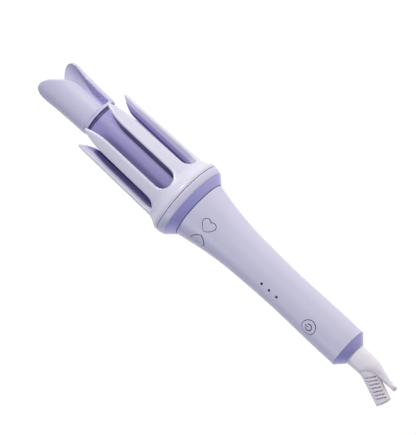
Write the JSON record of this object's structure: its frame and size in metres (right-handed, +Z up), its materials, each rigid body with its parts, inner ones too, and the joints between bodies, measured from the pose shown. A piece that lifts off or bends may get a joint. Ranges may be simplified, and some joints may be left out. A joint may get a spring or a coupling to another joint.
{
  "type": "automatic hair curler",
  "caption": "Slim flared handle with a violet heated barrel that turns inside a fixed cage of long prongs, a split petal tip, heart-shaped buttons and a swivel cord boot.",
  "frame": {"origin": "under the middle of the bounding box, on the level that the collar rests on", "axes": "+X along the tool's axis toward the petal tip, +Z up through the button line on the handle, +Y to the side"},
  "size_m": [0.3756, 0.0686, 0.0686],
  "materials": {
    "pale_plastic": "satin pale lavender moulded plastic",
    "violet_plastic": "satin violet moulded plastic",
    "violet_coating": "smooth violet ceramic coating on aluminium",
    "dark_seal": "dark violet heat-resistant ring",
    "boot_plastic": "warm white moulded plastic",
    "boot_rubber": "warm white flexible sleeve",
    "inner_plastic": "unpainted grey moulding",
    "heatproof_plastic": "black glass-filled heat-resistant moulding",
    "gear_plastic": "natural acetal",
    "brass": "turned brass",
    "bronze": "phosphor bronze",
    "steel": "plain steel",
    "dark_iron": "magnet and lamination iron",
    "aluminium": "extruded",
    "heater_ceramic": "unglazed",
    "sensor_glass": "glass bead",
    "board_green": "solder-masked board",
    "component_black": "moulded component cases",
    "light_pipe": "smoked clear plastic"
  },
  "bodies": {
    "handle": {"guard_cage": "pale_plastic", "collar_ring": "pale_plastic", "accent_band": "violet_plastic", "front_bulkhead": "inner_plastic", "front_bush": "bronze", "cage_screws": "steel", "handle_housing": "pale_plastic", "handle_cover": "pale_plastic", "cover_screws": "steel", "tail_ring": "violet_plastic", "inner_frame": "inner_plastic", "contact_holder": "inner_plastic", "ring_contacts": "bronze", "ring_gear": "gear_plastic", "gearbox_cover": "inner_plastic", "motor_can": "steel", "motor_endcap": "inner_plastic", "motor_magnets": "dark_iron", "control_board": "board_green", "board_components": "component_black", "status_lights": "component_black", "light_pipes": "light_pipe", "power_switch": "component_black", "button_board": "board_green", "turn_switches": "component_black", "contact_block": "inner_plastic", "block_contacts": "bronze"},
    "barrel": {"barrel_tube": "violet_coating", "tip_seal_ring": "dark_seal", "end_plug": "heatproof_plastic", "tip_cap": "pale_plastic", "tip_screw": "steel", "barrel_hub": "heatproof_plastic", "spindle": "steel", "heater_shoe_upper": "aluminium", "heater_shoe_lower": "aluminium", "heater_plate": "heater_ceramic", "temperature_sensor": "sensor_glass", "slip_ring_sleeve": "inner_plastic", "slip_rings": "brass", "planet_carrier": "gear_plastic", "planet_pins": "steel"},
    "rotor": {"motor_rotor": "dark_iron", "motor_shaft": "steel", "sun_gear": "brass"},
    "planet_1": {"planet_gear_1": "gear_plastic"},
    "planet_2": {"planet_gear_2": "gear_plastic"},
    "planet_3": {"planet_gear_3": "gear_plastic"},
    "left_button": {"left_turn_button": "pale_plastic"},
    "right_button": {"right_turn_button": "pale_plastic"},
    "main_button": {"power_button": "pale_plastic"},
    "cord_swivel": {"swivel_boot": "boot_plastic", "strain_relief": "boot_rubber", "swivel_contacts": "brass"}
  },
  "joints": [
    {"name": "barrel_spin", "type": "hinge", "parent": "handle", "child": "barrel", "pos_m": [0.0268, 0, 0.0343], "axis": [1, 0, 0], "continuous": true},
    {"name": "rotor_spin", "type": "hinge", "parent": "handle", "child": "rotor", "pos_m": [0.0268, 0, 0.0343], "axis": [1, 0, 0], "continuous": true},
    {"name": "planet_1_spin", "type": "hinge", "parent": "barrel", "child": "planet_1", "pos_m": [-0.0163, 0, 0.0403], "axis": [1, 0, 0], "continuous": true},
    {"name": "planet_2_spin", "type": "hinge", "parent": "barrel", "child": "planet_2", "pos_m": [-0.0163, -0.0052, 0.0313], "axis": [1, 0, 0], "continuous": true},
    {"name": "planet_3_spin", "type": "hinge", "parent": "barrel", "child": "planet_3", "pos_m": [-0.0163, 0.0052, 0.0313], "axis": [1, 0, 0], "continuous": true},
    {"name": "left_button_press", "type": "slide", "parent": "handle", "child": "left_button", "axis": [0, 0.3256, -0.9455], "range_m": [0, 0.0005], "stiffness_N_per_m": 500, "springref_m": -0.0004},
    {"name": "right_button_press", "type": "slide", "parent": "handle", "child": "right_button", "axis": [0, -0.3256, -0.9455], "range_m": [0, 0.0005], "stiffness_N_per_m": 500, "springref_m": -0.0004},
    {"name": "main_button_press", "type": "slide", "parent": "handle", "child": "main_button", "axis": [0, 0, -1], "range_m": [0, 0.0005], "stiffness_N_per_m": 500, "springref_m": -0.0004},
    {"name": "cord_swivel_turn", "type": "hinge", "parent": "handle", "child": "cord_swivel", "pos_m": [-0.1423, 0, 0.0343], "axis": [1, 0, 0], "continuous": true}
  ],
  "couplings": [
    {"joint": "rotor_spin", "follows": "barrel_spin", "ratio": 4},
    {"joint": "planet_1_spin", "follows": "barrel_spin", "ratio": -3},
    {"joint": "planet_2_spin", "follows": "barrel_spin", "ratio": -3},
    {"joint": "planet_3_spin", "follows": "barrel_spin", "ratio": -3}
  ]
}
